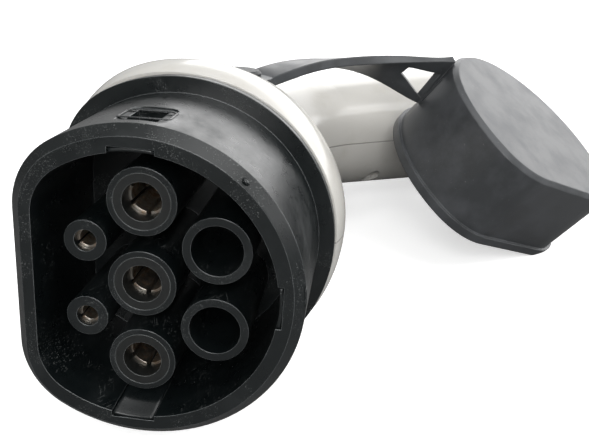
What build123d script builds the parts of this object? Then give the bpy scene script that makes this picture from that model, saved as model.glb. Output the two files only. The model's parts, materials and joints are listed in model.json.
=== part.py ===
"""Vehicle charging connector, seven-position, with its tethered dust cap.

The connector lies on its side. Its nose points to -Y, the flat side of the nose
faces -X, and the handle bends away to +X. The origin is the centre of the earth
socket's mouth. All sizes are millimetres.
"""
import os
from math import cos, pi, radians, sin

from build123d import *

os.makedirs("parts", exist_ok=True)

# ---------------------------------------------------------------- driving sizes
running_gap = 0.05          # radial play of a part that turns on its pin
seat_gap = 0.1              # play of a part that is pushed into its seat

# nose
nose_radius = 28.25
nose_flat = 21.2            # axis to the flat side
nose_corner = 14.0
nose_wall = 4.35
flat_wall = 3.8
nose_length = 29.0          # rim to flange
cavity_depth = 28.0
rim_chamfer = 1.8
flange_radius = 31.4
flange_flat = 23.8
flange_thickness = 2.5
spigot_radius = 23.5
spigot_end = 54.0           # rim to the rear face of the nose block
key_width = 7.6             # shallow key grooves in the cavity wall
key_depth = 0.7

# contact positions, seen from the front: x away from the flat side, z up
power_pitch = 14.72
spare_x = 12.78
signal_x = -9.65
signal_pitch = 14.06

# sleeves and contacts
mouth_recess = 3.7          # rim to the mouths of the large sleeves
signal_recess = 3.4
sleeve_radius = 5.93
signal_sleeve_radius = 3.67
spare_bore = 4.5
spare_bore_depth = 24.0
mouth_ring_radius = 4.9
mouth_ring_bore = 3.4
mouth_ring_length = 4.0
socket_bore = 3.03          # for the 6 mm pins
socket_radius = 4.3
socket_slot = 0.8
socket_slot_length = 14.0
socket_bore_depth = 34.0
socket_collar_radius = 5.4
socket_collar_length = 3.0
barrel_radius = 3.3
barrel_bore = 2.1
barrel_length = 7.0
signal_bore = 1.53          # for the 3 mm pins
signal_radius = 2.35
signal_entry = 1.95
signal_lip = 1.6
signal_collar_radius = 3.1
signal_barrel_radius = 1.9
signal_barrel_bore = 1.1

# lock windows
lock_width = 5.3
lock_length = 8.0
lock_x = -0.65
lock_depth = 9.3            # rim to the middle of the window
lock_frame = 1.5
lock_frame_depth = 0.5

# retainer behind the contacts
retainer_radius = 21.0
retainer_thickness = 2.5
retainer_screw_circle = 17.5
retainer_screw_radius = 1.25
retainer_screw_length = 8.0

# collar ring, seal and gasket
collar_end = 46.0           # rim to the seam
collar_radius = 33.0
collar_flat = 26.0
gasket_thickness = 1.0
seal_section = 1.6
seal_place = 36.0           # rim to the seal's groove

# handle
shell_wall = 2.6
straight_end = 88.0         # rim to where the handle starts to bend
bend_radius = 55.0
bend_angle = 50.5
tail_run = 62.0             # straight run behind the bend
grip_width = 37.0           # in the plane of the bend
grip_thickness = 34.0
tail_radius = 20.5
rib_width = 2.2
rib_place = 50.6            # rim to the front of the rib that holds the nose
rib_height = 1.8
boss_radius = 3.6
screw_radius = 1.5
screw_head_radius = 2.8
screw_head_height = 2.0
screw_length = 16.0
screw_seat = 9.0            # mid-plane to the seat of a screw's head

# cable gland
end_wall = 4.0
gland_neck = 9.0
gland_radius = 12.0
gland_bore = 6.8
gland_length = 14.0
gland_flange = 2.5
cable_bore = 6.2
grommet_radius = 9.6
grommet_length = 9.0
nut_radius = 15.6
nut_length = 20.0
nut_lip = 2.4

# cord clamp
clamp_place = 16.0          # end wall to the middle of the clamp
clamp_width = 8.0
clamp_thickness = 3.6
clamp_arch = 2.5
clamp_screw_pitch = 23.0
clamp_screw_length = 12.0

# dust cap and strap
cap_wall = 1.7
cap_play = 0.25
cap_face = 2.6
cap_length = 26.0
cap_lip = 0.9
cap_lip_length = 2.6
strap_width = 10.0
strap_thickness = 2.4
eye_radius = 8.0
stud_radius = 3.5
stud_head_radius = 5.0
stud_head_height = 1.3
stud_x = 3.0
stud_place = 78.0           # rim to the stud
stud_seat = 22.0            # mid-plane to the boss under the eye
stud_play = 0.25


# ---------------------------------------------------------------- frames and outlines
def behind_rim(distance):
    """Y of a place given by its distance behind the nose's rim."""
    return distance - mouth_recess


def across(distance):
    """Plane square to the nose axis. It faces the front, so rearward is negative."""
    return Plane.XZ.offset(-behind_rim(distance))


def d_outline(radius, flat, corner):
    """Round outline with one flat side towards -X and round corners."""
    with BuildSketch() as outline:
        Circle(radius)
        with Locations((-flat - radius, 0)):
            Rectangle(2 * radius, 3 * radius, mode=Mode.SUBTRACT)
        fillet(outline.vertices(), corner)
    return outline.sketch


def ring_radius(angle, half_width, half_height, flat, squareness):
    """Polar radius of a handle section: an oval that may be flattened towards -X."""
    c = abs(cos(angle)) / half_width
    s = abs(sin(angle)) / half_height
    oval = (c**squareness + s**squareness) ** (-1 / squareness)
    if cos(angle) < -0.01 and flat:
        side = flat / abs(cos(angle))
        return (oval**-12 + side**-12) ** (-1 / 12)
    return oval


def ring_point(angle, half_width, half_height, flat, squareness, inset):
    """Point of a handle section at a polar angle."""
    reach = ring_radius(angle, half_width, half_height, flat, squareness) - inset
    return (reach * cos(angle), reach * sin(angle))


def handle_ring(plane, half_width, half_height, flat=None, squareness=2.0, inset=0.0):
    """One whole cross-section as a sketch on its plane."""
    count = 12
    points = [ring_point(2 * pi * k / count, half_width, half_height, flat, squareness, inset)
              for k in range(count)]
    with BuildSketch(plane) as ring:
        with BuildLine():
            Spline(*points, periodic=True)
        make_face()
    return ring.sketch


def half_ring(plane, side, half_width, half_height, flat, squareness, inset, overrun):
    """Upper (1) or lower (-1) half of a cross-section, run a little past the mid-plane."""
    count = 6
    points = [ring_point(side * pi * k / count, half_width, half_height, flat, squareness, inset)
              for k in range(count + 1)]
    right, left = points[0], points[-1]
    with BuildSketch(plane) as ring:
        with BuildLine():
            Spline(*points, tangents=[(0, side), (0, -side)])
            if overrun:
                Polyline(left, (left[0], -side * overrun), (right[0], -side * overrun), right)
            else:
                Line(left, right)
        make_face()
    return ring.sketch


def centre_line(run):
    """Plane across the handle at a distance along its centre line from the rim."""
    bend_run = bend_radius * radians(bend_angle)
    turn = min(max(run - straight_end, 0), bend_run) / bend_radius
    x = bend_radius * (1 - cos(turn))
    y = behind_rim(min(run, straight_end)) + bend_radius * sin(turn)
    past = max(run - straight_end - bend_run, 0)
    x += past * sin(turn)
    y += past * cos(turn)
    # local x points away from the nose's flat side, local y is up
    return Plane(origin=(x, y, 0), x_dir=(cos(turn), -sin(turn), 0), z_dir=(-sin(turn), -cos(turn), 0))


def solid_through(rings):
    """Smooth solid through a row of sections."""
    with BuildPart() as body:
        for ring in rings:
            add(ring)
        loft()
    return body.part


seam = collar_end + gasket_thickness
bend_end = straight_end + bend_radius * radians(bend_angle)
tail_end = bend_end + tail_run
half_grip = grip_width / 2
half_thick = grip_thickness / 2

# sections of the neck: run from the rim, half width, half height, flat side, squareness
neck_sections = [
    (seam, collar_radius - 1, collar_radius - 1, collar_flat - 0.8, 2.0),
    (seam + 8, collar_radius - 2.6, collar_radius - 2.8, collar_flat - 1.4, 2.0),
    (seam + 16, collar_radius - 5.6, collar_radius - 6.0, collar_flat - 1.6, 2.0),
    (seam + 28, half_grip + 2.9, half_thick + 3.2, 60.0, 2.2),
    (straight_end, half_grip, half_thick, 80.0, 2.4),
]
grip_section = (half_grip, half_thick, 80.0, 2.4)
tail_section_sizes = (tail_radius, tail_radius, 80.0, 2.0)
bend_axis = Axis((bend_radius, behind_rim(straight_end), 0), (0, 0, -1))


def half_body(side, first_run, last_run, inset, overrun=0.0):
    """Half of the handle between two runs, smaller by an inset all round."""
    with BuildPart() as body:
        for run, *size in neck_sections:
            place = first_run if run == seam else run
            add(half_ring(centre_line(place), side, *size, inset, overrun))
        loft()
        with BuildSketch(centre_line(straight_end)):
            add(half_ring(Plane.XY, side, *grip_section, inset, overrun))
        revolve(axis=bend_axis, revolution_arc=bend_angle)
        add(half_ring(centre_line(bend_end), side, *grip_section, inset, overrun))
        add(half_ring(centre_line(last_run), side, *tail_section_sizes, inset, overrun))
        loft(ruled=True)
    return body.part


def skin_height(offset, section):
    """Height of the skin above the mid-plane, at an offset from the middle of a section."""
    half_width, half_height, _, squareness = section
    return half_height * (1 - (offset / half_width) ** squareness) ** (1 / squareness)


nose_outline = d_outline(nose_radius, nose_flat, nose_corner)
cavity_radius = nose_radius - nose_wall
cavity_flat = nose_flat - flat_wall
cavity_outline = d_outline(cavity_radius, cavity_flat, nose_corner - nose_wall)
flange_outline = d_outline(flange_radius, flange_flat, nose_corner + 3)

power_places = {"line": power_pitch, "earth": 0.0, "neutral": -power_pitch}
signal_places = {"pilot": signal_pitch / 2, "proximity": -signal_pitch / 2}
large_sleeves = [(0, z) for z in power_places.values()]
spare_sleeves = [(spare_x, power_pitch / 2), (spare_x, -power_pitch / 2)]
small_sleeves = [(signal_x, z) for z in signal_places.values()]
retainer_screw_places = [(retainer_screw_circle * cos(a), retainer_screw_circle * sin(a))
                         for a in (radians(0), radians(180 - 62), radians(180 + 62))]



def lock_plane(side):
    """Plane through the nose axis that faces the upper (1) or lower (-1) lock window."""
    return Plane(origin=(lock_x, behind_rim(lock_depth), 0), x_dir=(1, 0, 0), z_dir=(0, 0, side))


# face of the nose's flat side, local x along the nose axis
flat_plane = Plane(origin=(-nose_flat, behind_rim(lock_depth), 0), x_dir=(0, 1, 0), z_dir=(-1, 0, 0))

# ---------------------------------------------------------------- nose
with BuildPart() as nose_shroud:
    with BuildSketch(across(0)):
        add(nose_outline)
    extrude(amount=-(nose_length + flange_thickness))
    chamfer(nose_shroud.edges().group_by(Axis.Y)[0], rim_chamfer)
    with BuildSketch(across(nose_length)):
        add(flange_outline)
    extrude(amount=-flange_thickness)
    chamfer(nose_shroud.faces().sort_by(Axis.Y)[-1].outer_wire().edges(), 0.5)
    # cavity with its shallow key grooves
    with BuildSketch(across(0)):
        add(cavity_outline)
        with Locations((cavity_radius, 0)):
            Rectangle(2 * key_depth, key_width)
        with Locations((lock_x, cavity_radius), (lock_x, -cavity_radius)):
            Rectangle(key_width, 2 * key_depth)
    extrude(amount=-cavity_depth, mode=Mode.SUBTRACT)
    # spigot behind the flange
    with BuildSketch(across(nose_length)):
        Circle(spigot_radius)
    extrude(amount=-(spigot_end - nose_length))
    # sleeves
    with BuildSketch(across(mouth_recess)):
        with Locations(*large_sleeves, *spare_sleeves):
            Circle(sleeve_radius)
    extrude(amount=-(cavity_depth - mouth_recess + 1))
    with BuildSketch(across(signal_recess)):
        with Locations(*small_sleeves):
            Circle(signal_sleeve_radius)
    extrude(amount=-(cavity_depth - signal_recess + 1))
    # bores: open spare sleeves, mouth ring seats, contact bores and collar seats
    with BuildSketch(across(mouth_recess)):
        with Locations(*spare_sleeves):
            Circle(spare_bore)
    extrude(amount=-spare_bore_depth, mode=Mode.SUBTRACT)
    with BuildSketch(across(mouth_recess)):
        with Locations(*large_sleeves):
            Circle(mouth_ring_radius + seat_gap / 2)
    extrude(amount=-mouth_ring_length, mode=Mode.SUBTRACT)
    with BuildSketch(across(mouth_recess)):
        with Locations(*large_sleeves):
            Circle(socket_radius + seat_gap)
    extrude(amount=-(spigot_end - mouth_recess), mode=Mode.SUBTRACT)
    with BuildSketch(across(signal_recess)):
        with Locations(*small_sleeves):
            Circle(signal_entry)
    extrude(amount=-(signal_lip + 1), mode=Mode.SUBTRACT)
    with BuildSketch(across(signal_recess + signal_lip)):
        with Locations(*small_sleeves):
            Circle(signal_radius + seat_gap)
    extrude(amount=-(spigot_end - signal_recess - signal_lip), mode=Mode.SUBTRACT)
    with BuildSketch(across(spigot_end - socket_collar_length)):
        with Locations(*large_sleeves):
            Circle(socket_collar_radius + seat_gap)
        with Locations(*small_sleeves):
            Circle(signal_collar_radius + seat_gap)
    extrude(amount=-socket_collar_length, mode=Mode.SUBTRACT)
    with BuildSketch(across(spigot_end - retainer_screw_length)):
        with Locations(*retainer_screw_places):
            Circle(retainer_screw_radius - 0.2)
    extrude(amount=-retainer_screw_length, mode=Mode.SUBTRACT)
    # grooves for the seal and for the handle's rib
    with BuildSketch(across(seal_place)):
        Circle(spigot_radius + 1)
        Circle(spigot_radius - seal_section, mode=Mode.SUBTRACT)
    extrude(amount=-(seal_section + 2 * seat_gap), mode=Mode.SUBTRACT)
    with BuildSketch(across(rib_place - seat_gap)):
        Circle(spigot_radius + 1)
        Circle(spigot_radius - rib_height, mode=Mode.SUBTRACT)
    extrude(amount=-(rib_width + 2 * seat_gap), mode=Mode.SUBTRACT)
    # lock windows with their shallow frames, and the blind pocket of the flat side
    for side in (1, -1):
        with BuildSketch(lock_plane(side).offset(cavity_radius - 2)):
            Rectangle(lock_width, lock_length)
        extrude(amount=nose_wall + 4, mode=Mode.SUBTRACT)
        with BuildSketch(lock_plane(side).offset(nose_radius - lock_frame_depth)):
            RectangleRounded(lock_width + 2 * lock_frame, lock_length + 2 * lock_frame, lock_frame)
        extrude(amount=3, mode=Mode.SUBTRACT)
    with BuildSketch(flat_plane):
        RectangleRounded(lock_length + 2 * lock_frame, lock_width + 2 * lock_frame, lock_frame)
    extrude(amount=-lock_frame_depth, mode=Mode.SUBTRACT)
nose_shroud.part.label = "nose_shroud"
export_step(nose_shroud.part, "parts/nose_shroud.step")

# ---------------------------------------------------------------- contacts
for name, z in power_places.items():
    with BuildPart() as mouth_ring:
        with BuildSketch(across(mouth_recess)):
            with Locations((0, z)):
                Circle(mouth_ring_radius)
                Circle(mouth_ring_bore, mode=Mode.SUBTRACT)
        extrude(amount=-(mouth_ring_length - seat_gap))
    mouth_ring.part.label = name + "_mouth_ring"
    export_step(mouth_ring.part, "parts/" + name + "_mouth_ring.step")


def split_socket(x, z, front, radius, bore, collar, barrel, barrel_hole, slots, slot_width, slot_length):
    """Turned contact: slotted socket in front, collar for the retainer, crimp barrel behind."""
    back = spigot_end - socket_collar_length
    with BuildPart() as contact:
        with BuildSketch(across(front)):
            with Locations((x, z)):
                Circle(radius)
        extrude(amount=-(spigot_end - front))
        with BuildSketch(across(back)):
            with Locations((x, z)):
                Circle(collar)
        extrude(amount=-socket_collar_length)
        with BuildSketch(across(spigot_end)):
            with Locations((x, z)):
                Circle(barrel)
        extrude(amount=-(barrel_length + retainer_thickness))
        with BuildSketch(across(front)):
            with Locations((x, z)):
                Circle(bore)
        extrude(amount=-socket_bore_depth, mode=Mode.SUBTRACT)
        with BuildSketch(across(spigot_end + retainer_thickness + 1)):
            with Locations((x, z)):
                Circle(barrel_hole)
        extrude(amount=-barrel_length, mode=Mode.SUBTRACT)
        with BuildSketch(across(front)):
            with Locations((x, z)):
                for k in range(slots // 2):
                    Rectangle(2 * radius + 1, slot_width, rotation=30 + 360 * k / slots)
        extrude(amount=-slot_length, mode=Mode.SUBTRACT)
    return contact.part


for name, z in power_places.items():
    socket = split_socket(0, z, mouth_recess + mouth_ring_length, socket_radius, socket_bore,
                          socket_collar_radius, barrel_radius, barrel_bore, 6, socket_slot, socket_slot_length)
    socket.label = name + "_socket"
    export_step(socket, "parts/" + name + "_socket.step")
for name, z in signal_places.items():
    socket = split_socket(signal_x, z, signal_recess + signal_lip + seat_gap, signal_radius, signal_bore,
                          signal_collar_radius, signal_barrel_radius, signal_barrel_bore, 2, 0.5, 12)
    socket.label = name + "_socket"
    export_step(socket, "parts/" + name + "_socket.step")

# ---------------------------------------------------------------- retainer and its screws
with BuildPart() as contact_retainer:
    with BuildSketch(across(spigot_end)):
        Circle(retainer_radius)
        with Locations(*large_sleeves):
            Circle(barrel_radius + 2 * seat_gap, mode=Mode.SUBTRACT)
        with Locations(*small_sleeves):
            Circle(signal_barrel_radius + 2 * seat_gap, mode=Mode.SUBTRACT)
        with Locations(*retainer_screw_places):
            Circle(retainer_screw_radius + seat_gap, mode=Mode.SUBTRACT)
    extrude(amount=-retainer_thickness)
contact_retainer.part.label = "contact_retainer"
export_step(contact_retainer.part, "parts/contact_retainer.step")

with BuildPart() as retainer_screws:
    with BuildSketch(across(spigot_end + retainer_thickness)):
        with Locations(*retainer_screw_places):
            Circle(2 * retainer_screw_radius)
    extrude(amount=-1.6)
    with BuildSketch(across(spigot_end - retainer_screw_length + 1)):
        with Locations(*retainer_screw_places):
            Circle(retainer_screw_radius - 0.2)
    extrude(amount=-(retainer_screw_length + retainer_thickness))
retainer_screws.part.label = "retainer_screws"
export_step(retainer_screws.part, "parts/retainer_screws.step")

# ---------------------------------------------------------------- collar ring, seal, gasket
collar_start = nose_length + flange_thickness
with BuildPart() as collar_ring:
    add(solid_through([
        handle_ring(across(collar_start), collar_radius - 1.3, collar_radius - 1.3, collar_flat - 1.2),
        handle_ring(across(collar_start + 6), collar_radius, collar_radius, collar_flat),
        handle_ring(across(collar_end), collar_radius - 0.9, collar_radius - 0.9, collar_flat - 0.7),
    ]))
    with BuildSketch(across(collar_start)):
        Circle(spigot_radius + seat_gap)
    extrude(amount=-(collar_end - collar_start), mode=Mode.SUBTRACT)
collar_ring.part.label = "collar_ring"
export_step(collar_ring.part, "parts/collar_ring.step")

with BuildPart() as nose_seal:
    with BuildSketch(across(seal_place)):
        Circle(spigot_radius + seat_gap / 2)
        Circle(spigot_radius + seat_gap / 2 - seal_section, mode=Mode.SUBTRACT)
    extrude(amount=-seal_section)
    chamfer(nose_seal.edges(), seal_section / 4)
nose_seal.part.label = "nose_seal"
export_step(nose_seal.part, "parts/nose_seal.step")

with BuildPart() as collar_gasket:
    add(solid_through([
        handle_ring(across(collar_end), collar_radius - 1.3, collar_radius - 1.3, collar_flat - 1.1),
        handle_ring(across(seam), collar_radius - 1.3, collar_radius - 1.3, collar_flat - 1.1),
    ]))
    with BuildSketch(across(collar_end)):
        Circle(spigot_radius + seat_gap)
    extrude(amount=-gasket_thickness, mode=Mode.SUBTRACT)
collar_gasket.part.label = "collar_gasket"
export_step(collar_gasket.part, "parts/collar_gasket.step")

# ---------------------------------------------------------------- handle shells
tail_plane = centre_line(tail_end)
tail_axis = Axis(tail_plane.origin, -tail_plane.z_dir)
# sketch plane that holds the tail's axis: local x runs rearward along it, local y is its radius
tail_section = Plane(origin=tail_plane.origin, x_dir=-tail_plane.z_dir, z_dir=(0, 0, 1))

boss_offset = half_grip - shell_wall - boss_radius + 0.8
boss_runs = [straight_end - 5.5, bend_end + 14]
boss_places = []
for run in boss_runs:
    for side in (1, -1):
        boss_places.append(centre_line(run).from_local_coords(Vector(side * boss_offset, 0, 0)))
clamp_run = tail_end - end_wall - clamp_place
clamp_places = [centre_line(clamp_run).from_local_coords(Vector(side * clamp_screw_pitch / 2, 0, 0))
                for side in (1, -1)]
stud_y = behind_rim(stud_place)

post_height = skin_height(boss_offset + boss_radius, grip_section) - shell_wall / 3
cradle_half = cable_bore + 2.0
clamp_share = (clamp_run - bend_end) / tail_run
clamp_section = [grip + (tail - grip) * clamp_share
                 for grip, tail in zip(grip_section, tail_section_sizes)]
clamp_post = boss_radius - 0.4
clamp_post_height = skin_height(clamp_screw_pitch / 2 + clamp_post, clamp_section) - shell_wall / 3
cradle_height = skin_height(cradle_half, clamp_section) - shell_wall / 3


def shell_half(side):
    """Hollow half of the handle with its rib and its screw posts."""
    with BuildPart() as half:
        add(half_body(side, seam, tail_end, 0.0))
        add(half_body(side, seam - 1, tail_end - end_wall, shell_wall, 1.0), mode=Mode.SUBTRACT)
        with BuildSketch(across(seam)):
            Circle(spigot_radius + seat_gap)
        extrude(amount=-(spigot_end - seam), mode=Mode.SUBTRACT)
        # rib that holds the nose block by its rear groove
        with BuildSketch(across(rib_place)):
            add(half_ring(Plane.XY, side, collar_radius - 1.5, collar_radius - 1.5, collar_flat - 1.0,
                          2.0, shell_wall / 2, 0.0))
            Circle(spigot_radius - rib_height + seat_gap, mode=Mode.SUBTRACT)
        extrude(amount=-rib_width)
        with Locations(*boss_places):
            Cylinder(boss_radius, post_height, rotation=(90 - 90 * side, 0, 0),
                     align=(Align.CENTER, Align.CENTER, Align.MIN))
        # half of the hole of the cable gland
        with BuildSketch(centre_line(tail_end - end_wall - 1)):
            Circle(gland_neck + seat_gap)
        extrude(amount=-(end_wall + 2), mode=Mode.SUBTRACT)
    return half.part


with BuildPart() as upper_shell:
    add(shell_half(1))
    with Locations((stud_x, stud_y, stud_seat)):
        Cylinder(eye_radius - 1, 4.5, align=(Align.CENTER, Align.CENTER, Align.MAX))
        Cylinder(eye_radius + 0.6, 6, align=(Align.CENTER, Align.CENTER, Align.MIN), mode=Mode.SUBTRACT)
        Cylinder(stud_radius / 2, 7, align=(Align.CENTER, Align.CENTER, Align.MAX), mode=Mode.SUBTRACT)
    with Locations(*boss_places):
        Cylinder(screw_radius - 0.2, screw_length - screw_seat + 1, mode=Mode.SUBTRACT,
                 align=(Align.CENTER, Align.CENTER, Align.MIN))
upper_shell.part.label = "upper_shell"
export_step(upper_shell.part, "parts/upper_shell.step")

with BuildPart() as lower_shell:
    add(shell_half(-1))
    # cradle under the cable and posts for the clamp
    with BuildSketch(centre_line(clamp_run - clamp_width / 2)):
        with Locations((0, -cradle_height / 2)):
            Rectangle(2 * cradle_half, cradle_height)
        Circle(cable_bore, mode=Mode.SUBTRACT)
    extrude(amount=-clamp_width)
    with Locations(*clamp_places):
        Cylinder(clamp_post, clamp_post_height, align=(Align.CENTER, Align.CENTER, Align.MAX))
        Cylinder(screw_radius - 0.2, clamp_screw_length - clamp_thickness + 1, mode=Mode.SUBTRACT,
                 align=(Align.CENTER, Align.CENTER, Align.MAX))
    with Locations(*boss_places):
        Cylinder(screw_radius + seat_gap, screw_seat, mode=Mode.SUBTRACT,
                 align=(Align.CENTER, Align.CENTER, Align.MAX))
    with Locations(*[place - Vector(0, 0, screw_seat) for place in boss_places]):
        Cylinder(screw_head_radius + seat_gap, half_thick, mode=Mode.SUBTRACT,
                 align=(Align.CENTER, Align.CENTER, Align.MAX))
lower_shell.part.label = "lower_shell"
export_step(lower_shell.part, "parts/lower_shell.step")

with BuildPart() as housing_screws:
    with Locations(*[place - Vector(0, 0, screw_seat) for place in boss_places]):
        Cylinder(screw_head_radius, screw_head_height, align=(Align.CENTER, Align.CENTER, Align.MAX))
        Cylinder(screw_radius - 0.2, screw_length, align=(Align.CENTER, Align.CENTER, Align.MIN))
housing_screws.part.label = "housing_screws"
export_step(housing_screws.part, "parts/housing_screws.step")

# ---------------------------------------------------------------- cord clamp
with BuildPart() as cord_clamp:
    with BuildSketch(centre_line(clamp_run - clamp_width / 2)):
        with Locations((0, clamp_thickness / 2)):
            Rectangle(clamp_screw_pitch + 2 * boss_radius - 1, clamp_thickness)
        Circle(cable_bore + clamp_arch)
        with Locations((0, -collar_radius)):
            Rectangle(2 * collar_radius, 2 * collar_radius, mode=Mode.SUBTRACT)
        Circle(cable_bore, mode=Mode.SUBTRACT)
    extrude(amount=-clamp_width)
    with Locations(*clamp_places):
        Cylinder(screw_radius + seat_gap, 3 * clamp_thickness, mode=Mode.SUBTRACT)
cord_clamp.part.label = "cord_clamp"
export_step(cord_clamp.part, "parts/cord_clamp.step")

with BuildPart() as clamp_screws:
    with Locations(*[place + Vector(0, 0, clamp_thickness) for place in clamp_places]):
        Cylinder(screw_head_radius - 0.2, screw_head_height, align=(Align.CENTER, Align.CENTER, Align.MIN))
        Cylinder(screw_radius - 0.2, clamp_screw_length, align=(Align.CENTER, Align.CENTER, Align.MAX))
clamp_screws.part.label = "clamp_screws"
export_step(clamp_screws.part, "parts/clamp_screws.step")

# ---------------------------------------------------------------- cable gland
grommet_start = gland_length - grommet_length
with BuildPart() as gland_body:
    with BuildSketch(tail_section):
        with BuildLine():
            Polyline((-end_wall - gland_flange, gland_bore), (-end_wall - gland_flange, gland_radius),
                     (-end_wall, gland_radius), (-end_wall, gland_neck), (0, gland_neck),
                     (0, gland_radius), (gland_length, gland_radius), (gland_length, grommet_radius + seat_gap),
                     (grommet_start, grommet_radius + seat_gap), (grommet_start, gland_bore), close=True)
        make_face()
    revolve(axis=tail_axis)
gland_body.part.label = "gland_body"
export_step(gland_body.part, "parts/gland_body.step")

with BuildPart() as gland_grommet:
    with BuildSketch(tail_section):
        with BuildLine():
            Polyline((grommet_start, cable_bore), (grommet_start, grommet_radius),
                     (gland_length + 1.5, grommet_radius), (gland_length + 3.5, grommet_radius - 1.6),
                     (gland_length + 3.5, cable_bore), close=True)
        make_face()
    revolve(axis=tail_axis)
gland_grommet.part.label = "gland_grommet"
export_step(gland_grommet.part, "parts/gland_grommet.step")

nut_start = 2.0
nut_end = nut_start + nut_length
with BuildPart() as gland_nut:
    with BuildSketch(tail_section):
        with BuildLine():
            Polyline((nut_start, gland_radius + seat_gap), (nut_start, nut_radius),
                     (nut_end - 6, nut_radius), (nut_end, nut_radius - 5), (nut_end, cable_bore + 1.2),
                     (nut_end - nut_lip, cable_bore + 0.6), (gland_length + 3.6, grommet_radius - 1.5),
                     (gland_length + 1.6, gland_radius + seat_gap), close=True)
        make_face()
    revolve(axis=tail_axis)
gland_nut.part.label = "gland_nut"
export_step(gland_nut.part, "parts/gland_nut.step")

# ---------------------------------------------------------------- stud of the strap
with BuildPart() as strap_stud:
    with Locations((stud_x, stud_y, stud_seat)):
        Cylinder(stud_radius, strap_thickness + 2 * stud_play, align=(Align.CENTER, Align.CENTER, Align.MIN))
        Cylinder(stud_radius / 2 - 0.05, 6, align=(Align.CENTER, Align.CENTER, Align.MAX))
    with Locations((stud_x, stud_y, stud_seat + strap_thickness + 2 * stud_play)):
        Cylinder(stud_head_radius, stud_head_height, align=(Align.CENTER, Align.CENTER, Align.MIN))
    chamfer(strap_stud.edges().group_by(Axis.Z)[-1], 0.6)
strap_stud.part.label = "strap_stud"
export_step(strap_stud.part, "parts/strap_stud.step")

# ---------------------------------------------------------------- dust cap with its strap
cap_axis = Vector(0.546, -0.262, 0.795).normalized()
cap_up = (Vector(0, 0, 1) - cap_axis * cap_axis.Z).normalized()
cap_side = Vector(0, 0, 1).cross(cap_axis).normalized()
cap_mouth = Vector(70.0, 109.2, -9.0)
cap_turn = radians(30)      # the cap's round side, turned from straight up
cap_plane = Plane(origin=cap_mouth, x_dir=cap_up * cos(cap_turn) + cap_side * sin(cap_turn), z_dir=cap_axis)
cap_inside = d_outline(nose_radius + cap_play, nose_flat + cap_play, nose_corner)
cap_outside = d_outline(nose_radius + cap_play + cap_wall, nose_flat + cap_play + cap_wall, nose_corner + cap_wall)
cap_edge = d_outline(nose_radius + cap_play + cap_wall + cap_lip, nose_flat + cap_play + cap_wall + cap_lip,
                     nose_corner + cap_wall + cap_lip)

strap_centre = stud_seat + stud_play + strap_thickness / 2
join_turn = radians(-14)
join_radius = nose_radius + cap_play + cap_wall / 2
join_way = cap_up * cos(join_turn) + cap_side * sin(join_turn)
join = cap_mouth + cap_axis * (0.7 * cap_length) + join_way * join_radius
eye_centre = Vector(stud_x, stud_y, strap_centre)

# route of the strap's middle, its width's direction and its width
strap_route = [
    (eye_centre + Vector(4.2, 4.2, 0), Vector(1, -1, 0), strap_width),
    (Vector(10.5, 80.5, strap_centre + 1.3), Vector(1, -1, 0), strap_width),
    (Vector(17.5, 88.0, strap_centre + 3.0), Vector(1, -1.1, 0.1), strap_width),
    (Vector(27.0, 96.0, strap_centre + 3.6), Vector(1, -1.2, 0.3), strap_width),
    (Vector(38.5, 102.0, strap_centre + 2.4), Vector(1, -1.1, 0.8), strap_width + 1),
    (join - Vector(7.5, 3.5, -0.6), cap_axis, strap_width + 3),
    (join - join_way * 0.3, cap_axis, strap_width + 6),
]
strap_sections = []
for k, (centre, width_way, width) in enumerate(strap_route):
    before = strap_route[max(k - 1, 0)][0]
    after = strap_route[min(k + 1, len(strap_route) - 1)][0]
    run_way = Vector(1, 1, 0) if k == 0 else after - before
    plane = Plane(origin=centre, x_dir=width_way, z_dir=run_way)
    with BuildSketch(plane) as section:
        Rectangle(width, strap_thickness)
    strap_sections.append(section.sketch)

# plane of the strap's broad end: local x along the cap's axis, local y towards the cap
fork_way = Vector(7.5, 3.5, -0.6).normalized()
fork_plane = Plane(origin=join - fork_way * 6.5, x_dir=cap_axis, z_dir=cap_axis.cross(fork_way))

with BuildPart() as dust_cap:
    with BuildSketch(cap_plane):
        add(cap_outside)
    extrude(amount=cap_length)
    chamfer(dust_cap.faces().sort_by(Axis(cap_mouth, cap_axis))[-1].edges(), 1.2)
    with BuildSketch(cap_plane):
        add(cap_edge)
    extrude(amount=cap_lip_length)
    add(solid_through(strap_sections))
    # three-cornered eye in the strap's broad end
    with BuildSketch(fork_plane):
        with BuildLine():
            Polyline((-1.5, -7), (1.5, -7), (4.6, 2.5), (-4.6, 2.5), close=True)
        make_face()
    extrude(amount=2 * strap_thickness, both=True, mode=Mode.SUBTRACT)
    with BuildSketch(cap_plane):
        add(cap_inside)
    extrude(amount=cap_length - cap_face, mode=Mode.SUBTRACT)
    with Locations(eye_centre):
        Cylinder(eye_radius, strap_thickness)
        Cylinder(stud_radius + running_gap, 2 * strap_thickness, mode=Mode.SUBTRACT)
dust_cap.part.label = "dust_cap"
export_step(dust_cap.part, "parts/dust_cap.step")
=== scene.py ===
import json
import math
import bmesh
import bpy
from mathutils import Matrix, Vector


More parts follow.
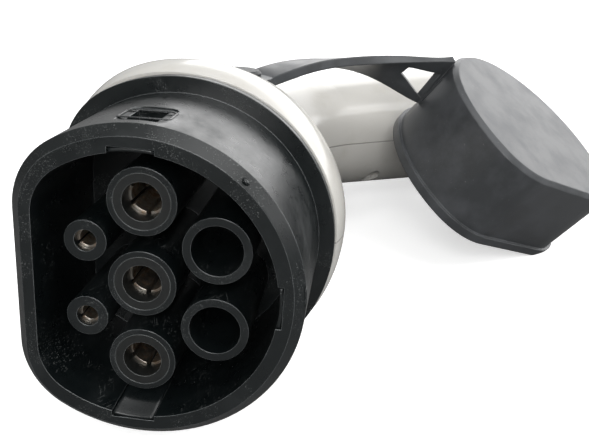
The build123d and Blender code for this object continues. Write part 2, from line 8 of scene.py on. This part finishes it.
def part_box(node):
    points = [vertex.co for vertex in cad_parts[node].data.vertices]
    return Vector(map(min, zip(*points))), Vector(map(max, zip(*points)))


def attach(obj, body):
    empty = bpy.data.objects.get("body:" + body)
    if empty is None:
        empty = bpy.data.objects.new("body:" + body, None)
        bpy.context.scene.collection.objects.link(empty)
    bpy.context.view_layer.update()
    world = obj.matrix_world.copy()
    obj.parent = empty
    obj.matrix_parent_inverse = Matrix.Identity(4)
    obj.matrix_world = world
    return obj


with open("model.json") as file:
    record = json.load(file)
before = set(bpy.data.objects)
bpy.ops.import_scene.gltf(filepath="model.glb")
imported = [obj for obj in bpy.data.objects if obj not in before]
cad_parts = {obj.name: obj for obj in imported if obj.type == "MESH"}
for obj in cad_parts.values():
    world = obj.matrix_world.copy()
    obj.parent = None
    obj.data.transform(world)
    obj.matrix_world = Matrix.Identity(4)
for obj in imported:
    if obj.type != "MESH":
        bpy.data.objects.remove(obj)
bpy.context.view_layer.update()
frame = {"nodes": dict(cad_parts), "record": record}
nodes = frame["nodes"]
scene = bpy.context.scene

# ------------------------------------------------------------ sizes, in metres
MM = 0.001
RIM_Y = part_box("nose_shroud")[0].y
NOSE_RADIUS = 28.25 * MM

# upper lock window and the low bead round it
WINDOW_MIDDLE = Vector((-0.65 * MM, RIM_Y + 9.3 * MM, 0))
WINDOW_WIDE = 8.0 * MM
WINDOW_DEEP = 5.3 * MM
BEAD_REACH = 0.35 * MM          # from the window's edge to the middle of the bead
BEAD_CORNER = 1.1 * MM
BEAD_CORNER_STEPS = 6
BEAD_HALF_WIDE = 0.32 * MM
BEAD_HALF_HIGH = 0.13 * MM
BEAD_SIDES = 8

# liners in the keyways of the cavity
LINER_INNER = 24.05 * MM
LINER_OUTER = 24.62 * MM
LINER_HALF_WIDE = 3.7 * MM
LINER_FRONT = RIM_Y + 0.12 * MM
LINER_BACK = RIM_Y + 27.5 * MM
LINER_STEPS = 12
LINER_OFFSET = 0.027            # radians that the upper and lower keyways sit from the top and the bottom

# gland nut and its grip ribs
TAIL_WAY = Vector((0.7716, 0.6361, 0))
TAIL_END = Vector((67.856 * MM, 166.176 * MM, 0))
NUT_START = 2.0 * MM            # from the end of the handle to the nut
NUT_RADIUS = 15.6 * MM
RIB_COUNT = 20
RIB_START = 1.5 * MM            # from the front of the nut to the ribs
RIB_LENGTH = 10.0 * MM
RIB_RADIUS = 0.75 * MM
RIB_SUNK = 0.35 * MM            # middle of a rib below the nut's skin

# kinds of node that come often. A range takes its value, the two ends it comes from and the two it goes to
# as 0 to 4. A mix takes its share and its two colours as 0, 6 and 7, and gives the colour as output 2.
MATH = "ShaderNodeMath"
VECTOR = "ShaderNodeVectorMath"
NOISE = "ShaderNodeTexNoise"
RANGE = "ShaderNodeMapRange"
MIX = "ShaderNodeMix"
SHADER = "ShaderNodeBsdfPrincipled"
OUTPUT = "ShaderNodeOutputMaterial"
BEVEL_SAMPLES = 6


# ------------------------------------------------------------ helpers
def srgb(text):
    """Linear colour with alpha from a hex string."""
    parts = [int(text[k:k + 2], 16) / 255 for k in (1, 3, 5)]
    return tuple(c / 12.92 if c <= 0.04045 else ((c + 0.055) / 1.055) ** 2.4 for c in parts) + (1.0,)


def add(tree, kind, inputs=None, **settings):
    """Adds a node. Inputs, by name or number, are values, sockets, or nodes whose first output feeds them."""
    made = tree.nodes.new(kind)
    for name, value in settings.items():
        setattr(made, name, value)
    for name, value in (inputs or {}).items():
        if isinstance(value, bpy.types.Node):
            value = value.outputs[0]
        if isinstance(value, bpy.types.NodeSocket):
            tree.links.new(value, made.inputs[name])
        else:
            made.inputs[name].default_value = value
    return made


def material(name):
    """An empty node material, its tree, and the place in the object in millimetres."""
    mat = bpy.data.materials.new(name)
    mat.use_nodes = True
    tree = mat.node_tree
    tree.nodes.clear()
    place = add(tree, "ShaderNodeTexCoord").outputs["Object"]
    return mat, tree, add(tree, VECTOR, {0: place, "Scale": 1000.0}, operation="SCALE")


def edges(tree, radius):
    """One along sharp edges and nought on open faces."""
    soft = add(tree, "ShaderNodeBevel", {"Radius": radius}, samples=BEVEL_SAMPLES)
    true = add(tree, "ShaderNodeNewGeometry").outputs["Normal"]
    agree = add(tree, VECTOR, {0: soft, 1: true}, operation="DOT_PRODUCT").outputs["Value"]
    return add(tree, RANGE, {0: agree, 1: 0.995, 2: 0.9})


def relief(tree, height, distance, strength, radius):
    """Normals of a relief of that many metres, on edges rounded by a radius."""
    soft = add(tree, "ShaderNodeBevel", {"Radius": radius}, samples=BEVEL_SAMPLES)
    return add(tree, "ShaderNodeBump", {"Strength": strength, "Distance": distance, "Height": height,
                                        "Normal": soft})


def overlay(tree, mask, strength, below, above):
    """One colour laid over another where a mask says, at a strength."""
    share = add(tree, MATH, {0: mask, 1: strength}, operation="MULTIPLY")
    return add(tree, MIX, {0: share, 6: below, 7: above}, data_type="RGBA").outputs[2]


def scratches(tree, place, length, width, turn, share):
    """Thin lines of a length and width in millimetres, at an angle, on a share of the surface."""
    turned = add(tree, "ShaderNodeVectorRotate", {"Vector": place, "Angle": turn, "Axis": (0.2, 0.3, 1.0)})
    drawn = add(tree, VECTOR, {0: turned, 1: (1 / width, 1 / length, 1 / width)}, operation="MULTIPLY")
    streaks = add(tree, NOISE, {"Vector": drawn, "Scale": 1.0, "Detail": 2.0, "Roughness": 0.4})
    patches = add(tree, NOISE, {"Vector": place, "Scale": 1 / 9.0, "Detail": 2.0, "Roughness": 0.55})
    thin = add(tree, RANGE, {0: streaks, 1: 0.66, 2: 0.70})
    where = add(tree, RANGE, {0: patches, 1: 0.62 - share, 2: 0.66 - share})
    return add(tree, MATH, {0: thin, 1: where}, operation="MULTIPLY")


def plain_moulding(name, blotch, grain, dark, pale, smooth, matt):
    """Dark moulding with soft blotches and a fine grain, both in millimetres, between two roughnesses."""
    mat, tree, place = material(name)
    mottle = add(tree, NOISE, {"Vector": place, "Scale": 1 / blotch, "Detail": 3.0, "Roughness": 0.55})
    skin = add(tree, NOISE, {"Vector": place, "Scale": 1 / grain, "Detail": 3.0, "Roughness": 0.55})
    shader = add(tree, SHADER, {
        "Base Color": add(tree, MIX, {0: mottle, 6: srgb(dark), 7: srgb(pale)}, data_type="RGBA").outputs[2],
        "Roughness": add(tree, RANGE, {0: mottle, 1: 0.3, 2: 0.7, 3: smooth, 4: matt}),
        "Normal": relief(tree, skin, 0.01 * MM, 0.5, 0.2 * MM)})
    add(tree, OUTPUT, {"Surface": shader})
    return mat


# ------------------------------------------------------------ materials
# Injection-moulded glass-filled nylon: semi-gloss black, with a faint fibre mottle, grey scuffs on the
# skin that rubs in the inlet, and a painted highlight that makes the edges paler where the chamfers catch
# light.
# The mottle and the thin scratches are finer on a real one, and are drawn as coarse as they need to show.
nose_mat, tree, place = material("moulded_glass_filled_nylon")
mottle = add(tree, NOISE, {"Vector": place, "Scale": 1 / 2.5, "Detail": 4.0, "Roughness": 0.55})
drawn = add(tree, VECTOR, {0: place, 1: (1, 0.5, 1)}, operation="MULTIPLY")
scuffs = add(tree, NOISE, {"Vector": drawn, "Scale": 1 / 11.0, "Detail": 4.0, "Roughness": 0.6})
rubbed = add(tree, RANGE, {0: scuffs, 1: 0.52, 2: 0.68})
lines = add(tree, MATH, {0: scratches(tree, place, 9.0, 0.22, 0.5, 0.12),
                         1: scratches(tree, place, 6.0, 0.16, -0.35, 0.10)}, operation="MAXIMUM")
patches = add(tree, NOISE, {"Vector": place, "Scale": 1 / 3.0, "Detail": 3.0, "Roughness": 0.55})
uneven = add(tree, RANGE, {0: patches, 1: 0.3, 2: 0.6, 3: 0.45, 4: 1.0})
# painted highlight: the nose's sharp edges are drawn paler where their chamfers catch light, broken up unevenly
pale_edges = add(tree, MATH, {0: edges(tree, 0.18 * MM), 1: uneven}, operation="MULTIPLY")
colour = add(tree, MIX, {0: mottle, 6: srgb("#0a0e0f"), 7: srgb("#101516")}, data_type="RGBA").outputs[2]
colour = overlay(tree, rubbed, 0.2, colour, srgb("#2b2f30"))
colour = overlay(tree, lines, 0.5, colour, srgb("#6b6e6d"))
colour = overlay(tree, pale_edges, 0.8, colour, srgb("#747879"))
rough = add(tree, RANGE, {0: mottle, 1: 0.3, 2: 0.7, 3: 0.26, 4: 0.33})
for mask, matter in ((rubbed, 0.14), (lines, 0.15)):
    more = add(tree, MATH, {0: mask, 1: matter}, operation="MULTIPLY")
    rough = add(tree, MATH, {0: rough, 1: more}, operation="ADD")
grain = add(tree, NOISE, {"Vector": place, "Scale": 1 / 0.35, "Detail": 2.0, "Roughness": 0.55})
cut = add(tree, MATH, {0: lines, 1: 1.2}, operation="MULTIPLY")
grain = add(tree, MATH, {0: grain, 1: cut}, operation="SUBTRACT")
shader = add(tree, SHADER, {"Base Color": colour, "Roughness": rough,
                            "Normal": relief(tree, grain, 0.02 * MM, 0.6, 0.3 * MM)})
add(tree, OUTPUT, {"Surface": shader})

# Pressed-in nylon rings round the power contacts: the same plastic, unrubbed, a shade browner, with a painted
# highlight, a pale line along each edge where the chamfers catch light.
ring_mat, tree, place = material("moulded_nylon_ring")
mottle = add(tree, NOISE, {"Vector": place, "Scale": 1 / 1.2, "Detail": 3.0, "Roughness": 0.55})
colour = add(tree, MIX, {0: mottle, 6: srgb("#0f1111"), 7: srgb("#1a1c1b")}, data_type="RGBA").outputs[2]
# painted highlight: every edge of the rings is drawn pale where its chamfer catches light
colour = overlay(tree, edges(tree, 0.15 * MM), 1.0, colour, srgb("#6a6d6c"))
grain = add(tree, NOISE, {"Vector": place, "Scale": 1 / 0.3, "Detail": 3.0, "Roughness": 0.55})
shader = add(tree, SHADER, {
    "Base Color": colour, "Roughness": add(tree, RANGE, {0: mottle, 1: 0.3, 2: 0.7, 3: 0.35, 4: 0.5}),
    "Normal": relief(tree, grain, 0.01 * MM, 0.5, 0.15 * MM)})
add(tree, OUTPUT, {"Surface": shader})

# Turned copper alloy under silver plating: bright and finely ringed by the lathe, tarnished brownish in
# patches where pins have not rubbed it.
contact_mat, tree, place = material("silver_plated_copper_alloy")
patches = add(tree, NOISE, {"Vector": place, "Scale": 1 / 1.6, "Detail": 4.0, "Roughness": 0.65})
tarnish = add(tree, RANGE, {0: patches, 1: 0.42, 2: 0.66})
drawn = add(tree, VECTOR, {0: place, 1: (0.25, 1.0, 0.25)}, operation="MULTIPLY")
rings = add(tree, NOISE, {"Vector": drawn, "Scale": 1 / 0.12, "Detail": 2.0, "Roughness": 0.5})
shader = add(tree, SHADER, {
    "Base Color": overlay(tree, tarnish, 1.0, srgb("#dcd6cb"), srgb("#a98f74")), "Metallic": 1.0,
    "Roughness": add(tree, RANGE, {0: tarnish, 1: 0.0, 2: 1.0, 3: 0.32, 4: 0.5}),
    "Normal": relief(tree, rings, 0.004 * MM, 0.6, 0.1 * MM)})
add(tree, OUTPUT, {"Surface": shader})

# Moulded dark nylon inside the housing: plain and matt.
inner_mat = plain_moulding("moulded_dark_nylon", 3.0, 0.3, "#2a2b2d", "#37383a", 0.5, 0.62)

# Zinc-plated steel screws: grey, dulled unevenly by tumbling in the plating barrel.
screw_mat, tree, place = material("zinc_plated_steel")
dull = add(tree, NOISE, {"Vector": place, "Scale": 1 / 0.8, "Detail": 4.0, "Roughness": 0.55})
shader = add(tree, SHADER, {
    "Base Color": overlay(tree, dull, 1.0, srgb("#8f9190"), srgb("#b5b6b3")), "Metallic": 1.0,
    "Roughness": add(tree, RANGE, {0: dull, 1: 0.3, 2: 0.7, 3: 0.3, 4: 0.45}),
    "Normal": relief(tree, dull, 0.006 * MM, 0.5, 0.15 * MM)})
add(tree, OUTPUT, {"Surface": shader})

# Injection-moulded white ABS: clean high gloss with a slight warm cast, a very soft flow ripple, thin
# handling marks, and a fine parting line where the two halves meet.
housing_mat, tree, place = material("gloss_white_abs")
height = add(tree, "ShaderNodeSeparateXYZ", {0: place}).outputs["Z"]
away = add(tree, MATH, {0: height}, operation="ABSOLUTE")
seam = add(tree, RANGE, {0: away, 1: 0.12, 2: 0.3, 3: 1.0, 4: 0.0})
patches = add(tree, NOISE, {"Vector": place, "Scale": 1 / 14.0, "Detail": 5.0, "Roughness": 0.65})
dust = add(tree, RANGE, {0: patches, 1: 0.5, 2: 0.75})
marks = scratches(tree, place, 12.0, 0.18, 0.9, 0.04)
colour = overlay(tree, dust, 1.0, srgb("#bcbab5"), srgb("#b1aea7"))
colour = overlay(tree, marks, 0.35, colour, srgb("#a09d97"))
colour = overlay(tree, seam, 0.5, colour, srgb("#868380"))
ripple = add(tree, NOISE, {"Vector": place, "Scale": 1 / 16.0, "Detail": 1.0, "Roughness": 0.55})
cut = add(tree, MATH, {0: seam, 1: 3.0}, operation="MULTIPLY")
ripple = add(tree, MATH, {0: ripple, 1: cut}, operation="SUBTRACT")
shader = add(tree, SHADER, {
    "Base Color": colour, "Roughness": add(tree, RANGE, {0: dust, 1: 0.0, 2: 1.0, 3: 0.16, 4: 0.26}),
    "Subsurface Weight": 0.05, "Subsurface Radius": (1.2 * MM, 1.0 * MM, 0.8 * MM),
    "Normal": relief(tree, ripple, 0.05 * MM, 0.5, 0.4 * MM)})
add(tree, OUTPUT, {"Surface": shader})

# Moulded silicone seals: dark, soft sheen.
seal_mat = plain_moulding("moulded_silicone", 2.0, 0.4, "#26282a", "#323436", 0.45, 0.6)

# Moulded black nylon gland: satin, with a spark-eroded grain.
gland_mat, tree, place = material("spark_grain_nylon")
grain = add(tree, NOISE, {"Vector": place, "Scale": 1 / 0.45, "Detail": 2.0, "Roughness": 0.6})
mottle = add(tree, NOISE, {"Vector": place, "Scale": 1 / 5.0, "Detail": 3.0, "Roughness": 0.55})
shader = add(tree, SHADER, {
    "Base Color": overlay(tree, mottle, 1.0, srgb("#202224"), srgb("#2c2e30")),
    "Roughness": add(tree, RANGE, {0: grain, 1: 0.3, 2: 0.7, 3: 0.42, 4: 0.55}),
    "Normal": relief(tree, grain, 0.03 * MM, 0.6, 0.3 * MM)})
add(tree, OUTPUT, {"Surface": shader})

# Compression-moulded elastomer cap and strap: dark grey, satin, with dust caught in its skin, faint
# bruises where it has been flexed, and paler rubbed edges.
cap_mat, tree, place = material("moulded_elastomer")
patches = add(tree, NOISE, {"Vector": place, "Scale": 1 / 9.0, "Detail": 5.0, "Roughness": 0.65})
bloom = add(tree, RANGE, {0: patches, 1: 0.42, 2: 0.68})
motes = add(tree, NOISE, {"Vector": place, "Scale": 1 / 0.7, "Detail": 2.0, "Roughness": 0.55})
specks = add(tree, RANGE, {0: motes, 1: 0.70, 2: 0.76})
patches = add(tree, NOISE, {"Vector": place, "Scale": 1 / 4.0, "Detail": 3.0, "Roughness": 0.55})
uneven = add(tree, RANGE, {0: patches, 1: 0.4, 2: 0.6})
pale_edges = add(tree, MATH, {0: edges(tree, 0.5 * MM), 1: uneven}, operation="MULTIPLY")
colour = overlay(tree, bloom, 1.0, srgb("#343638"), srgb("#414346"))
colour = overlay(tree, specks, 0.3, colour, srgb("#77787a"))
colour = overlay(tree, pale_edges, 0.35, colour, srgb("#6d6f71"))
grain = add(tree, NOISE, {"Vector": place, "Scale": 1 / 0.5, "Detail": 3.0, "Roughness": 0.55})
shader = add(tree, SHADER, {
    "Base Color": colour, "Roughness": add(tree, RANGE, {0: bloom, 1: 0.0, 2: 1.0, 3: 0.36, 4: 0.48}),
    "Normal": relief(tree, grain, 0.02 * MM, 0.5, 0.6 * MM)})
add(tree, OUTPUT, {"Surface": shader})

SLOT_MATERIALS = {"nose": nose_mat, "mouth_rings": ring_mat, "contacts": contact_mat, "retainer": inner_mat,
                  "screws": screw_mat, "housing": housing_mat, "seals": seal_mat, "gland": gland_mat,
                  "cap_rubber": cap_mat}
for part in frame["record"]["subparts"]:
    mesh = nodes[part["node"]].data
    mesh.materials.clear()
    mesh.materials.append(SLOT_MATERIALS[part["material_slot"]])


# ------------------------------------------------------------ pieces
def piece(name, build, mat, body):
    """A mesh object made by a function that fills a bmesh, riding on a body."""
    work = bmesh.new()
    build(work)
    bmesh.ops.recalc_face_normals(work, faces=work.faces)
    mesh = bpy.data.meshes.new(name)
    work.to_mesh(mesh)
    work.free()
    mesh.shade_smooth()
    mesh.materials.append(mat)
    made = bpy.data.objects.new(name, mesh)
    scene.collection.objects.link(made)
    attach(made, body)


def window_bead(work):
    """Rolled bead of an elliptic section round the upper lock window, lying on the nose's round skin."""
    points = []
    normals = []
    for cx, cy, start in ((1, 1, 0), (-1, 1, 90), (-1, -1, 180), (1, -1, 270)):
        for step in range(BEAD_CORNER_STEPS + 1):
            a = math.radians(start + 90 / BEAD_CORNER_STEPS * step)
            x = WINDOW_MIDDLE.x + cx * (WINDOW_WIDE / 2 + BEAD_REACH - BEAD_CORNER) + BEAD_CORNER * math.cos(a)
            y = WINDOW_MIDDLE.y + cy * (WINDOW_DEEP / 2 + BEAD_REACH - BEAD_CORNER) + BEAD_CORNER * math.sin(a)
            z = math.sqrt(NOSE_RADIUS ** 2 - x ** 2)
            points.append(Vector((x, y, z)))
            normals.append(Vector((x, 0, z)).normalized())
    count = len(points)
    turns = [2 * math.pi * j / BEAD_SIDES for j in range(BEAD_SIDES)]
    loops = []
    for k in range(count):
        way = (points[(k + 1) % count] - points[k - 1]).normalized()
        out = (normals[k] - way * normals[k].dot(way)).normalized()
        side = way.cross(out)
        loops.append([work.verts.new(points[k] + side * (BEAD_HALF_WIDE * math.cos(a))
                                     + out * (BEAD_HALF_HIGH * math.sin(a))) for a in turns])
    for near, far in zip(loops, loops[1:] + loops[:1]):
        for j in range(BEAD_SIDES):
            after = (j + 1) % BEAD_SIDES
            work.faces.new((near[j], near[after], far[after], far[j]))


def keyway_liner(turn):
    """Function that makes the moulded liner that leaves only a shallow step in one keyway of the cavity."""
    section = ((LINER_INNER, LINER_FRONT), (LINER_OUTER, LINER_FRONT), (LINER_OUTER, LINER_BACK),
               (LINER_INNER, LINER_BACK))
    half = LINER_HALF_WIDE / LINER_OUTER

    def build(work):
        rows = []
        for k in range(LINER_STEPS + 1):
            a = turn - half + 2 * half * k / LINER_STEPS
            rows.append([work.verts.new((rad * math.sin(a), y, rad * math.cos(a))) for rad, y in section])
        for near, far in zip(rows, rows[1:]):
            for j in range(4):
                work.faces.new((near[j], near[(j + 1) % 4], far[(j + 1) % 4], far[j]))
        work.faces.new(rows[0])
        work.faces.new(rows[-1][::-1])
    return build


def burr(turn, deep, size, sunk):
    """Function that makes a torn lip of plastic on the nose's outer edge, at a turn from the top."""
    out = Vector((math.sin(turn), 0, math.cos(turn)))
    along = Vector((math.cos(turn), 0, -math.sin(turn)))
    centre = out * (NOSE_RADIUS - sunk) + Vector((0, RIM_Y + deep, 0))

    def build(work):
        bmesh.ops.create_icosphere(work, subdivisions=3, radius=1.0)
        for vert in work.verts:
            x, y, z = vert.co
            # two waves across the ball leave a ragged outline
            torn = 1 + 0.22 * math.sin(9 * x + 4 * z) + 0.15 * math.sin(13 * y - 5 * x)
            vert.co = (centre + along * (x * size[0] * torn) + Vector((0, y * size[1] * torn, 0))
                       + out * (z * size[2]))
    return build


piece("upper_window_bead", window_bead, nose_mat, "connector")

# where the nose has been knocked: a torn lip on the upper right edge and a flattened one lower down
torn_lip = burr(math.radians(40), 1.0 * MM, (0.7 * MM, 0.9 * MM, 0.3 * MM), 1.0 * MM)
knocked_edge = burr(math.radians(86), 1.9 * MM, (2.0 * MM, 0.4 * MM, 0.2 * MM), 0.1 * MM)
piece("torn_lip", torn_lip, nose_mat, "connector")
piece("knocked_edge", knocked_edge, nose_mat, "connector")

# grip ribs round the gland nut
RIB_SIZES = {"Count": RIB_COUNT, "Ring Radius": NUT_RADIUS - RIB_SUNK, "Rib Radius": RIB_RADIUS,
             "Rib Length": RIB_LENGTH}
rib_tree = bpy.data.node_groups.new("nut_ribs", "GeometryNodeTree")
rib_tree.interface.new_socket("Geometry", in_out="INPUT", socket_type="NodeSocketGeometry")
rib_sockets = {}
for name, size in RIB_SIZES.items():
    kind = "NodeSocketInt" if isinstance(size, int) else "NodeSocketFloat"
    rib_sockets[name] = rib_tree.interface.new_socket(name, in_out="INPUT", socket_type=kind)
rib_tree.interface.new_socket("Geometry", in_out="OUTPUT", socket_type="NodeSocketGeometry")
given = add(rib_tree, "NodeGroupInput").outputs
circle = add(rib_tree, "GeometryNodeMeshCircle", {"Vertices": given["Count"], "Radius": given["Ring Radius"]})
bar = add(rib_tree, "GeometryNodeMeshCylinder", {"Vertices": 12, "Side Segments": 4,
                                                 "Radius": given["Rib Radius"], "Depth": given["Rib Length"]})
ribs = add(rib_tree, "GeometryNodeInstanceOnPoints", {"Points": circle, "Instance": bar})
solid = add(rib_tree, "GeometryNodeRealizeInstances", {0: ribs})
painted = add(rib_tree, "GeometryNodeSetMaterial", {"Geometry": solid, "Material": gland_mat})
add(rib_tree, "NodeGroupOutput", {0: painted})
maker = bpy.data.objects.new("rib_maker", bpy.data.meshes.new("rib_maker"))
scene.collection.objects.link(maker)
grower = maker.modifiers.new("ribs", "NODES")
grower.node_group = rib_tree
for name, size in RIB_SIZES.items():
    grower[rib_sockets[name].identifier] = size
bpy.context.view_layer.update()
rib_mesh = bpy.data.meshes.new_from_object(maker.evaluated_get(bpy.context.evaluated_depsgraph_get()))
bpy.data.objects.remove(maker)
rib_middle = TAIL_END + TAIL_WAY * (NUT_START + RIB_LENGTH / 2 + RIB_START)
rib_mesh.transform(Matrix.Translation(rib_middle) @ TAIL_WAY.to_track_quat("Z", "Y").to_matrix().to_4x4())
rib_mesh.shade_smooth()
gland_ribs = bpy.data.objects.new("gland_nut_ribs", rib_mesh)
scene.collection.objects.link(gland_ribs)
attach(gland_ribs, "connector")

for name, turn in (("upper_keyway_liner", -LINER_OFFSET), ("far_keyway_liner", math.pi / 2),
                   ("lower_keyway_liner", math.pi + LINER_OFFSET)):
    piece(name, keyway_liner(turn), nose_mat, "connector")

# ------------------------------------------------------------ camera
CAMERA_PLACE = Vector((34.06, -109.17, 54.04)) * MM
CAMERA_AXES = Matrix(((0.9921, -0.0993, 0.0761), (0.1054, 0.3361, -0.9359), (0.0674, 0.9366, 0.3440)))
camera = bpy.data.objects.new("camera", bpy.data.cameras.new("camera"))
scene.collection.objects.link(camera)
camera.matrix_world = Matrix.Translation(CAMERA_PLACE) @ CAMERA_AXES.to_4x4()
camera.data.lens = 44.34
camera.data.sensor_width = 36
camera.data.clip_start = 0.005
scene.camera = camera

# ------------------------------------------------------------ ground
# the connector stands on its collar and on the end of its handle, so the ground leans a little
REST_FRONT = Vector((0.0, 42.3, -33.2)) * MM
REST_RUN = Vector((75.5, 133.5, 12.4)).normalized()
REST_SIDE = Vector((0.8704, -0.4922, 0.0))
GROUND_HALF = 1.5
GROUND_GLOW = 0.55              # lifts the paper to white for the camera and leaves the shadow on it
ground_up = REST_SIDE.cross(REST_RUN).normalized()
ground_mat = bpy.data.materials.new("white_paper_ground")
ground_mat.use_nodes = True
tree = ground_mat.node_tree
tree.nodes.clear()
rays = add(tree, "ShaderNodeLightPath").outputs
paper = overlay(tree, rays["Is Diffuse Ray"], 1.0, srgb("#e8e8e8"), srgb("#989898"))
paper = overlay(tree, rays["Is Glossy Ray"], 1.0, paper, srgb("#7c7c7c"))
glow = add(tree, MATH, {0: rays["Is Camera Ray"], 1: GROUND_GLOW}, operation="MULTIPLY")
lit = add(tree, "ShaderNodeAddShader", {
    0: add(tree, "ShaderNodeBsdfDiffuse", {"Color": paper}),
    1: add(tree, "ShaderNodeEmission", {"Color": (1, 1, 1, 1), "Strength": glow})})
add(tree, OUTPUT, {"Surface": lit})
ground = bpy.data.objects.new("ground", bpy.data.meshes.new("ground"))
corner_places = [REST_FRONT + REST_RUN * (a * GROUND_HALF) + REST_SIDE * (b * GROUND_HALF)
                 for a, b in ((-1, -1), (-1, 1), (1, 1), (1, -1))]
ground.data.from_pydata([tuple(c) for c in corner_places], [], [(0, 1, 2, 3)])
if ground.data.polygons[0].normal.dot(ground_up) < 0:
    ground.data.flip_normals()
ground.data.materials.append(ground_mat)
scene.collection.objects.link(ground)

# ------------------------------------------------------------ lights
# rectangular lights facing the middle of the object: place from it, width and height in metres, and watts
MIDDLE = Vector((0.03, 0.06, 0.0))
SOFTBOXES = (("overhead", (0.3, -0.12, 0.85), 0.8, 0.7, 4),
             ("behind", (0.35, 0.95, 0.42), 1.5, 0.6, 5.5),
             ("behind_right", (1.25, 0.55, 0.32), 0.9, 0.6, 3.5),
             ("right_side", (0.7, -0.05, 0.45), 0.5, 0.5, 2),
             ("front", (0.0, -0.6, 0.3), 0.3, 0.3, 3.0))
for name, offset, wide, high, power in SOFTBOXES:
    lamp = bpy.data.lights.new(name, "AREA")
    lamp.shape = "RECTANGLE"
    lamp.size = wide
    lamp.size_y = high
    lamp.energy = power
    made = bpy.data.objects.new(name, lamp)
    spot = MIDDLE + Vector(offset)
    made.matrix_world = Matrix.Translation(spot) @ (MIDDLE - spot).to_track_quat("-Z", "Y").to_matrix().to_4x4()
    made.visible_camera = False
    scene.collection.objects.link(made)

# white to the camera; to every other ray a studio that is brightest above, behind and to the right
STUDIO_LEAN = (0.8, 0.7, 1.0)
world = bpy.data.worlds.new("bright_studio")
world.use_nodes = True
tree = world.node_tree
tree.nodes.clear()
ways = add(tree, "ShaderNodeTexCoord").outputs["Generated"]
lean = add(tree, VECTOR, {0: ways, 1: STUDIO_LEAN}, operation="DOT_PRODUCT").outputs["Value"]
level = add(tree, RANGE, {0: lean, 1: -0.6, 2: 0.8, 3: 0.12, 4: 0.7})
both = add(tree, "ShaderNodeMixShader", {
    0: add(tree, "ShaderNodeLightPath").outputs["Is Camera Ray"],
    1: add(tree, "ShaderNodeBackground", {"Color": (1, 1, 1, 1), "Strength": level}),
    2: add(tree, "ShaderNodeBackground", {"Color": (1, 1, 1, 1), "Strength": 1.0})})
add(tree, "ShaderNodeOutputWorld", {"Surface": both})
scene.world = world
scene.view_settings.view_transform = "Standard"
